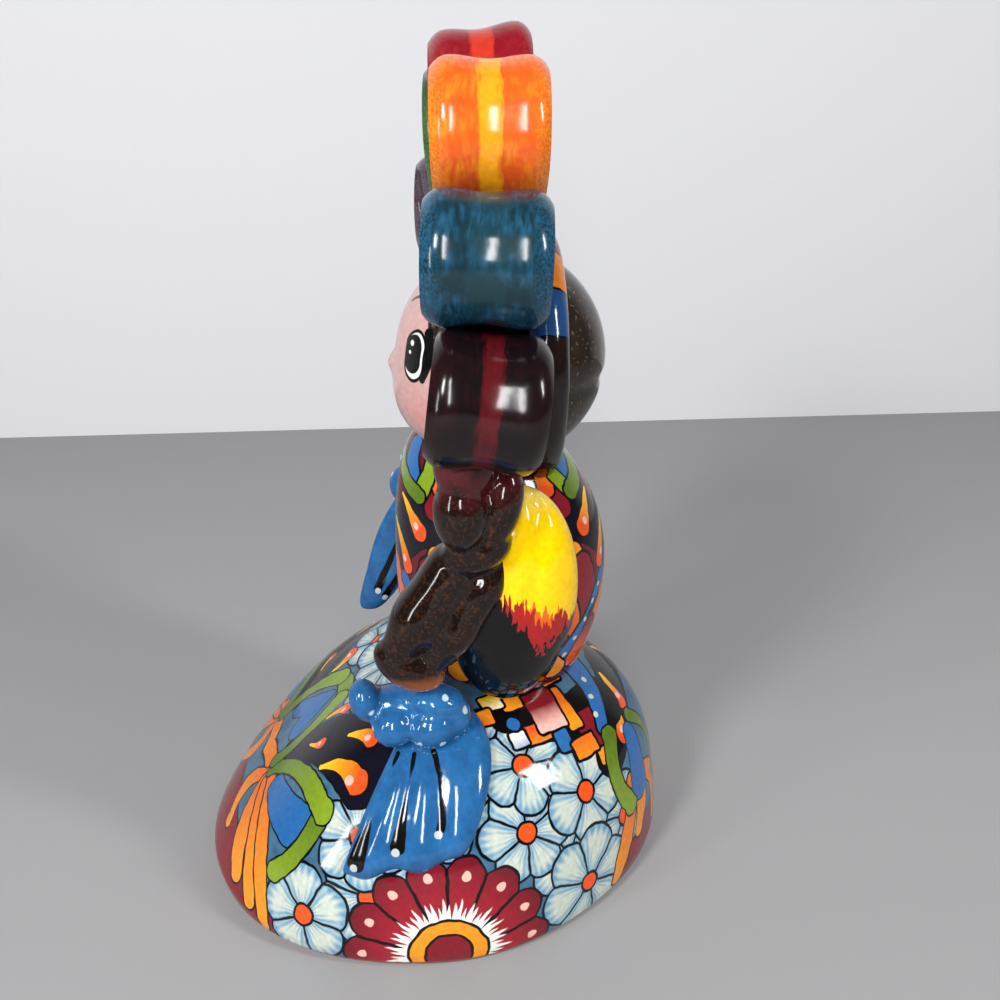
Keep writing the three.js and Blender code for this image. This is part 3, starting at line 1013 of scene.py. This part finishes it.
def skirt_paint(front):
    """The paint of the front or back half. Strokes near the line between them are in both."""
    def near(items):
        """The items of a list whose first value, a spot or a list of spots, reaches this half."""
        for item in items:
            turns = [spot[0] for spot in item[0]] if isinstance(item[0], list) else [item[0][0]]
            if front and min(turns) < SIDE_LINE + OVERLAP:
                yield item
            if not front and max(turns) > SIDE_LINE - OVERLAP:
                yield item

    def paint(wires):
        place = shaky(wires, object_place(wires))
        ground = wires.mix(wires.noise(place, 6.0), ink(30, 62, 92), ink(80, 124, 150))
        brush = Brush(wires.tree, place, skirt_spot, ground)
        brush.strokes(near(HEM_GROUND), DARK_RED)
        for daisy in near(SKIRT_DAISIES):
            brush.daisy(*daisy)
        brush.add(HEM_FLOWER, **brush.spot_axes((91, 5)), radius=29.0, petals=14)
        brush.strokes(near(NAVY_BANDS), NAVY)
        for spots, width in near(SKIRT_DROPS):
            brush.drop(spots, width)
        brush.strokes(near(PATCH_GROUND), BLACK)
        for patch in near(PATCHES):
            brush.patch(*patch)
        brush.strokes(near(BLUE_PETAL), BLUE, line=0.9)
        for dab in near(PATCH_DABS):
            brush.dab(*dab)
        brush.strokes(near(LILY_FRONT + LILY_BACK), DEEP_ORANGE, ORANGE)
        for inside, widths, edges in near(LEAVES):
            brush.strokes([(inside, widths)], BLUE, line=0.5)
            brush.strokes(edges, DARK_GREEN, GREEN, line=0.6)
        return brush.colour

    return paint


skirt_front_glaze = glaze("skirt_front_paint", skirt_paint(True))
skirt_back_glaze = glaze("skirt_back_paint", skirt_paint(False))

# %% [markdown]
# ## Painting the bust
# The bust carries the same kinds of strokes. Its front and back match, so each stroke also
# repeats behind: its place is measured without sign from the middle of the leaning egg.

# %% Paint the bust
def bust_spot(degrees, z):
    x, y, z = bust_point(math.radians(degrees), z)
    lean = max((z - BUST_MIDDLE) / BUST_HALF, 0)
    return x, BODY_Y - NECK_FORWARD * lean ** 2 - y, z


def bust_place_mirrored(wires):
    x, y, z = wires.split(object_place(wires))
    lean = wires.math("DIVIDE", wires.minus(z, BUST_MIDDLE), BUST_HALF)
    lean = wires.math("POWER", wires.math("MAXIMUM", lean, 0.0), 2.0)
    y = wires.linear(lean, NECK_FORWARD, wires.minus(y, BODY_Y))
    return wires.join(x, wires.unsigned(y), z)


BUST_STROKES = [  # spots, widths, first and last colour
    ([(46, 116), (28, 110), (6, 96)], (16, 17), NAVY, NAVY),
    ([(60, 121), (52, 118)], (8, 8), DARK_RED, DARK_RED),
    ([(52, 127), (56, 123)], (6, 5), ORANGE, ORANGE_RED),
    ([(50, 132), (53, 129)], (4, 4), YELLOW, WHITE),
    ([(22, 132), (26, 127), (33, 123)], (6, 7), BLUE, BLUE),
    ([(47, 131), (45, 126), (38, 120)], (4, 5), GREEN, GREEN),
    ([(4, 128), (20, 123), (38, 120)], (4, 5), GREEN, DARK_GREEN),
    ([(6, 92), (20, 80), (34, 68)], (13, 12), ORANGE_RED, ORANGE),
    ([(52, 104), (44, 97)], (7, 3), ORANGE, ORANGE),
    ([(47, 99), (43, 92), (45, 84)], (9, 9), DARK_RED, DARK_RED),
    ([(64, 92), (54, 85), (53, 79)], (7, 7), ORANGE, ORANGE_RED),
    ([(70, 80), (62, 76)], (9, 8), DARK_RED, DARK_RED),
    ([(24, 93), (38, 84), (56, 70)], (5, 6), BLUE, BLUE),
    ([(34, 77), (44, 68)], (7, 7), DARK_RED, ORANGE_RED),
    ([(66, 70), (58, 66)], (7, 7), ORANGE, ORANGE),
]
BUST_DROPS = [([(20, 118), (31, 114), (39, 110)], 5.6), ([(8, 109), (20, 104), (27, 98)], 5.6)]


def bust_paint(wires):
    place = shaky(wires, bust_place_mirrored(wires))
    brush = Brush(wires.tree, place, bust_spot, ink(92, 20, 32))
    brush.daisy((0, 84), 12, 6, 0.5)
    for spots, widths, first, last in BUST_STROKES:
        brush.stroke(spots, widths, (first, last), line=0.8)
    for spots, width in BUST_DROPS:
        brush.drop(spots, width)
    for spot in ((29, 90), (35, 86), (41, 81), (48, 76), (54, 71)):
        brush.dab(spot, 1.6, CREAM)
    return brush.colour


bust_glaze = glaze("bust_paint", bust_paint)

# %% [markdown]
# ## Painting the head
# The face is a pale pink area on the front of the ball and the hair is dark brown round it.
# A spot on the head is its x and its height. Each eye is a white oval with a large dark iris.

# %% Paint the head
def head_spot(x, z):
    up = z - HEAD_Z
    ahead = -math.sqrt(max(HEAD_RADIUS ** 2 - x ** 2 - up ** 2, 1))
    way = Vector((x, ahead, up)).normalized()
    radius = float(head_radius(way.x, way.y, way.z))
    return radius * way.x, BODY_Y + radius * way.y, HEAD_Z + radius * way.z


FACE_MIDDLE = (0, -14, 150)
FACE_REACH = 32.5
FACE_NARROWNESS = 1.3
CHEEK = (17, 144)
EYE = (16.3, 159.2)
BROW = ([(5, 172), (12, 174.4), (20, 171)], (1.0, 2.0), (ink(70, 60, 56), ink(54, 44, 40)))
MOUTH = ([(0, 140.6), (5.2, 142)], (2.6, 0.8), (ink(170, 40, 46), ink(170, 40, 46)))


def hair_colour(wires, place):
    hair = wires.mix(wires.noise(place, 5.0, 3.0), ink(20, 16, 14), ink(48, 37, 28))
    flecks = wires.ramp(wires.noise(place, 1.2, 2.0), 0.60, 0.72)
    return wires.mix(flecks, hair, ink(104, 84, 58))


def head_paint(wires):
    place = shaky(wires, object_place(wires), 6.0, 0.8)
    brush = Brush(wires.tree, place, head_spot, hair_colour(wires, place))
    from_face = wires.away(place, FACE_MIDDLE)
    from_face = wires.length(wires.stretch(from_face, FACE_NARROWNESS, 1.0, 1.0))
    brush.cover(wires.ramp(from_face, FACE_REACH + 0.2, FACE_REACH - 0.2), ink(190, 150, 146))
    from_cheek = wires.length(wires.away(place, brush.point(CHEEK)))
    brush.cover(wires.times(wires.ramp(from_cheek, 9, 2), 0.35), ink(200, 118, 112))
    x, z = EYE
    brush.stroke([(x, z - 2.4), (x, z + 2.6)], (7.4, 7.4), (WHITE, WHITE), line=0.9)
    brush.stroke([(x - 0.6, z - 1.2), (x - 0.6, z + 2.2)], (5.8, 5.8), (BLACK, BLACK))
    brush.dab((x - 1.6, z + 3.4), 1.5, WHITE)
    brush.dab((x - 2.0, z + 0.8), 1.0, WHITE)
    lashes = [(x + 3.4, z - 5.4), (x + 4.8, z), (x + 3.0, z + 6.4)]
    brush.stroke(lashes, (1.2, 2.2), (BLACK, BLACK))
    brush.stroke(*BROW, line=0)
    brush.stroke(*MOUTH, line=0)
    return brush.colour


head_glaze = glaze("head_paint", head_paint)

# %% Paint the headband
BAND_COLOURS = [  # from the top down, then the colour of the hair
    ink(214, 160, 34), ink(118, 18, 30), ink(198, 110, 24), ink(28, 66, 112), ink(26, 14, 11),
]
PATCH_ANGLE = 20.0


def band_paint(wires):
    """Cross stripes of five colours with dark lines, from the top of the band down both sides."""
    place = shaky(wires, object_place(wires))
    x, _, z = wires.split(place)
    angle = wires.math("ARCTAN2", x, wires.minus(z, HEAD_Z))
    steps = wires.math("DIVIDE", angle, math.radians(PATCH_ANGLE))
    colour = BAND_COLOURS[0]
    for number, next_colour in enumerate(BAND_COLOURS[1:]):
        over = wires.math("GREATER_THAN", steps, number + 0.5)
        colour = wires.mix(over, colour, next_colour)
    to_line = wires.unsigned(wires.minus(wires.math("FRACT", steps), 0.5))
    return wires.mix(wires.ramp(to_line, 0.035, 0.02), colour, BLACK)


band_glaze = glaze("band_paint", band_paint)

# %% [markdown]
# ## Painting the loops
# Each loop has one colour, brushed round the roll, with a band of a second colour along its
# middle and mottled edges where the wet finger thinned the paint. Towards the head each loop
# turns to a darker copy of its colour, which is painted shade; on left_2 it turns to a brushed
# blue paint instead. The rims were wiped nearly bare.

# %% Paint the loops
# The second colour is painted shade, a darker copy of the body colour, except on left_2, where it is
# blue paint.
LOOP_COLOURS = {  # body, lower paint and shade, middle band, edge, half the middle band's width in mm
    "top": (ink(126, 14, 28), ink(100, 14, 26), ink(186, 50, 34), ink(150, 46, 44), 3.4),
    "left_1": (ink(214, 84, 24), ink(150, 58, 26), ink(224, 150, 22), ink(222, 148, 40), 3.0),
    "left_2": (ink(16, 42, 50), ink(26, 68, 100), ink(20, 50, 58), ink(38, 96, 132), 5.0),
    "left_3": (ink(15, 7, 9), ink(13, 6, 8), ink(82, 14, 20), ink(40, 13, 15), 2.8),
    "right_1": (ink(30, 74, 42), ink(20, 48, 32), ink(104, 140, 44), ink(84, 116, 70), 3.2),
    "right_2": (ink(52, 20, 40), ink(36, 14, 28), ink(104, 40, 76), ink(96, 84, 92), 3.2),
    "right_3": (ink(30, 72, 124), ink(20, 44, 84), ink(70, 136, 172), ink(80, 120, 150), 3.2),
}


def loop_place(wires, name):
    """The place on a loop's own axes: x along the fan, y across the ribbon, z outwards."""
    to_loop = loop_frame(name).inverted()
    place = object_place(wires, mirror=False)
    axes = []
    for row in to_loop[:3]:
        turned_place = wires.dot(place, Vector(row[:3]))
        axes.append(wires.plus(turned_place, row[3]))
    return wires.join(*axes)


def loop_paint(name):
    body, lower_paint_and_shade, middle, edge, half_band = LOOP_COLOURS[name]
    roll, width = LOOPS[name][2:4]

    def paint(wires):
        place = shaky(wires, loop_place(wires, name), 5.0, 1.4)
        _, y, z = wires.split(place)
        from_middle = wires.unsigned(y)
        brushed = wires.noise(wires.stretch(place, 0.2, 1.0, 0.2), 1.1, 3.0)
        thin_places = wires.ramp(wires.noise(place, 7.0, 2.0), 0.42, 0.62)
        specks = wires.noise(place, 0.6, 2.0)
        # Painted shade: towards the head the loop turns to its darker second colour, which is blue paint
        # on left_2.
        colour = wires.mix(wires.ramp(z, roll * 0.7, -roll * 0.9), body, lower_paint_and_shade)
        band_edge = wires.linear(brushed, -3.0, from_middle)
        band = wires.ramp(band_edge, half_band - 1.5, half_band - 2.6)
        colour = wires.mix(wires.times(band, 0.9), colour, middle)
        near_edge = wires.ramp(from_middle, width / 2 - 5.0, width / 2 - 0.5)
        mottle = wires.times(near_edge, wires.ramp(specks, 0.35, 0.75))
        colour = wires.mix(mottle, colour, edge)
        thin_hairs = wires.times(thin_places, wires.ramp(brushed, 0.35, 0.75))
        return wires.mix(wires.times(thin_hairs, 0.7), colour, edge)

    return paint


LOOP_ROUGHNESS = 0.12
loop_glazes = {
    name: glaze("loop_paint_" + name, loop_paint(name), LOOP_ROUGHNESS) for name in LOOPS
}


def rim_paint(wires):
    place = object_place(wires, mirror=False)
    return wires.mix(wires.noise(place, 3.0, 3.0), ink(120, 84, 74), ink(190, 168, 156))


rim_glaze = glaze("wiped_rim", rim_paint)

# %% [markdown]
# ## Painting arms, braids, bows and tails
# The sleeves are yellow above and black below, with a ragged brush edge and a red flame between
# them. The braids are dark brown with copper flecks, copper strokes along the ridges of the
# strands and darker patches.

# %% Paint the arms
SLEEVE_END = 103.0
SLEEVE_Y = 17.0
SLEEVE_SLOPE = -0.42
FLAME_Y = 28.0
FLAME_HEIGHT = 13.0


def arm_paint(wires):
    place = shaky(wires, object_place(wires))
    _, y, z = wires.split(place)
    bristles = wires.noise(wires.stretch(place, 1.0, 1.0, 0.12), 1.1, 2.0)
    ragged = wires.linear(bristles, 16.0, -8.0)
    sleeve_edge = wires.linear(wires.minus(y, SLEEVE_Y), SLEEVE_SLOPE, SLEEVE_END)
    over_edge = wires.minus(z, wires.plus(sleeve_edge, ragged))
    from_flame = wires.unsigned(wires.minus(y, FLAME_Y))
    flame = wires.linear(from_flame, -1.1, wires.plus(over_edge, FLAME_HEIGHT))
    colour = wires.mix(wires.ramp(flame, -0.3, 0.3), BLACK, ink(156, 28, 26))
    orange_zone = wires.linear(from_flame, -0.6, wires.plus(over_edge, 3.6))
    colour = wires.mix(wires.ramp(orange_zone, -0.3, 0.3), colour, ink(214, 96, 24))
    yellow = wires.mix(wires.ramp(z, 123, 130), ink(240, 194, 0), ink(238, 214, 110))
    return wires.mix(wires.ramp(over_edge, -0.2, 0.2), colour, yellow)


arm_glaze = glaze("arm_paint", arm_paint)

# %% Paint the braids
COPPER_STROKES = [  # points in millimetres, widths
    ([(52, 6, 120), (53, -3, 108), (51, -11, 94)], (1.4, 4.0)),
    ([(51, 15, 114), (53, 7, 101), (52, -2, 88)], (1.2, 3.2)),
    ([(51, -12, 92), (52, -10, 84), (49, -4, 78)], (3.0, 1.6)),
    ([(54, 13, 134), (54, 14, 126), (52, 13, 119)], (1.0, 1.4)),
    ([(57, 2, 134), (58, 7, 122), (54, 12, 119)], (1.0, 1.6)),
]


def braid_paint(wires):
    place = shaky(wires, object_place(wires))
    _, _, z = wires.split(place)
    brush = Brush(wires.tree, place, lambda x, y, z: (x, y, z), ink(24, 13, 9))
    brush.strokes(COPPER_STROKES, ink(60, 32, 16), ink(66, 36, 18), line=0)
    shadow = wires.ramp(wires.noise(place, 5.0, 3.0), 0.35, 0.6)
    colour = wires.mix(shadow, brush.colour, ink(16, 9, 7))
    copper_flecks = wires.ramp(wires.noise(place, 0.9, 4.0), 0.5, 0.85)
    colour = wires.mix(wires.times(copper_flecks, 0.5), colour, ink(104, 56, 26))
    wine = wires.times(wires.ramp(z, 130, 142), wires.ramp(wires.noise(place, 8.0), 0.3, 0.55))
    colour = wires.mix(wires.times(wine, 0.7), colour, ink(104, 28, 40))
    return wires.mix(wires.ramp(z, 82, 77), colour, ink(170, 92, 40))


braid_glaze = glaze("braid_paint", braid_paint)

# %% Paint the bows and tails
RIBBON_BLUE = ink(38, 98, 150)
RIBBON_DEEP = ink(28, 78, 126)


def ribbon_blue(wires, place):
    return wires.mix(wires.ramp(wires.noise(place, 6.0, 3.0), 0.3, 0.7), RIBBON_BLUE, RIBBON_DEEP)


def bow_paint(wires):
    place = shaky(wires, object_place(wires, mirror=False))
    colour = ribbon_blue(wires, place)
    spots = wires.node("ShaderNodeTexVoronoi", {"Vector": place, "Scale": 1 / 5.2}, "Distance")
    return wires.mix(wires.ramp(spots, 0.24, 0.19), colour, ink(176, 200, 216))


def tail_spot(place, outer_share):
    """Turns shares across and down a tail into a point on its outer side."""
    def spot(across, down):
        x, y, z = place(np.array([across * outer_share]), np.array([down]))
        return x[0], y[0], z[0]

    return spot


TAIL_STRIPES = {  # spots as shares across and down, widths
    "left": [([(0.14, 0.44), (0.11, 0.93)], (1.2, 5.4)), ([(0.35, 0.46), (0.41, 0.90)], (1.2, 4.2)),
             ([(0.54, 0.46), (0.65, 0.66), (0.70, 0.85)], (1.6, 2.4))],
    "right": [([(0.90, 0.3), (0.92, 0.86)], (1.0, 3.0)), ([(0.02, 0.3), (0.03, 0.8)], (1.0, 3.0))],
}


def tail_paint(side, surface):
    def paint(wires):
        place = shaky(wires, object_place(wires, mirror=False), 4.0, 0.7)
        brush = Brush(wires.tree, place, surface, ribbon_blue(wires, place))
        brush.strokes(TAIL_STRIPES[side], BLACK, line=0)
        for spots, _ in TAIL_STRIPES[side]:
            across, down = spots[-1]
            brush.dab((across - 0.01, down + 0.02), 2.2, ink(178, 184, 190))
        return brush.colour

    return paint


bow_glaze = glaze("bow_paint", bow_paint)
left_tail_glaze = glaze("left_tail_paint", tail_paint("left", tail_spot(left_tail_place, 0.5)))
right_tail_glaze = glaze("right_tail_paint", tail_paint("right", tail_spot(right_tail_place, 1)))

# %% [markdown]
# ## Bare clay underneath
# The standing ring and the hollow were wiped clean before the glaze firing, or the doll would
# have stuck to the kiln shelf. They show the red-brown clay.

# %% Bare clay
clay, clay_shader = new_material("bare_clay")
wires = Wires(clay.node_tree)
grain = wires.noise(object_place(wires, mirror=False), 4.0, 4.0)
wires.plug(clay_shader.inputs["Base Color"], wires.mix(grain, ink(126, 72, 50), ink(168, 104, 74)))
clay_shader.inputs["Roughness"].default_value = 0.85

# %% Give each form its paint
def give_paint(piece, *materials, choose=None):
    """`choose` takes the middles (mm) and normals of the faces and returns a material number."""
    for material in materials:
        piece.data.materials.append(material)
    if choose is None:
        return
    middles = np.empty(len(piece.data.polygons) * 3)
    piece.data.polygons.foreach_get("center", middles)
    normals = np.empty(len(piece.data.polygons) * 3)
    piece.data.polygons.foreach_get("normal", normals)
    numbers = choose(middles.reshape(-1, 3) / MM, normals.reshape(-1, 3))
    piece.data.polygons.foreach_set("material_index", numbers.astype(np.int32))
    print(piece.name, "faces of each material", np.bincount(numbers.astype(int)))


HOLLOW_TOP = 45
RIM_SIDEWAYS = 0.94


def skirt_zones(middles, normals):
    """0 in front of the side line, 1 behind it, 2 underneath."""
    turn = np.degrees(np.arctan2(np.abs(middles[:, 0]), -middles[:, 1]))
    under = (normals[:, 2] < -0.25) & (middles[:, 2] < HOLLOW_TOP)
    return np.where(under, 2, (turn > SIDE_LINE).astype(int))


def rim_zones(name):
    """1 on the rims of a loop, where the faces look sideways on the loop's own axes."""
    to_loop = np.array(loop_frame(name).inverted())

    def choose(middles, normals):
        sideways = normals @ to_loop[1, :3]
        return (np.abs(sideways) > RIM_SIDEWAYS).astype(int)

    return choose


give_paint(skirt, skirt_front_glaze, skirt_back_glaze, clay, choose=skirt_zones)
give_paint(bust, bust_glaze)
give_paint(head, head_glaze)
give_paint(band, band_glaze)
for name, loop in loops.items():
    give_paint(loop, loop_glazes[name], rim_glaze, choose=rim_zones(name))
for pair, material in (((left_arm, right_arm), arm_glaze), ((left_braid, right_braid), braid_glaze),
                       ((left_bow, right_bow), bow_glaze)):
    for piece in pair:
        give_paint(piece, material)
give_paint(left_tail, left_tail_glaze)
give_paint(right_tail, right_tail_glaze)

# %% [markdown]
# ## One skin
# The parts were stuck together wet and fired as one, so the forms are joined into one skin.
# Each is added to the skirt in turn with a boolean union, which keeps the paint of each part.

# %% Join the forms
parts = [bust, head, band, *loops.values(), left_arm, right_arm, left_braid, right_braid,
         left_bow, right_bow, left_tail, right_tail]


def stick_on(body, part):
    select(body)
    union = body.modifiers.new("union", "BOOLEAN")
    union.operation = "UNION"
    union.solver = "MANIFOLD"
    union.object = part
    union.material_mode = "TRANSFER"
    bpy.ops.object.modifier_apply(modifier=union.name)
    bpy.data.objects.remove(part)


doll = skirt
doll.name = "glazed_doll"
for part in parts:
    stick_on(doll, part)
print("joined skin has", len(doll.data.polygons), "faces")
bpy.ops.object.shade_smooth_by_angle(angle=math.radians(40))
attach(doll, "root")
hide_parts("doll_figurine")
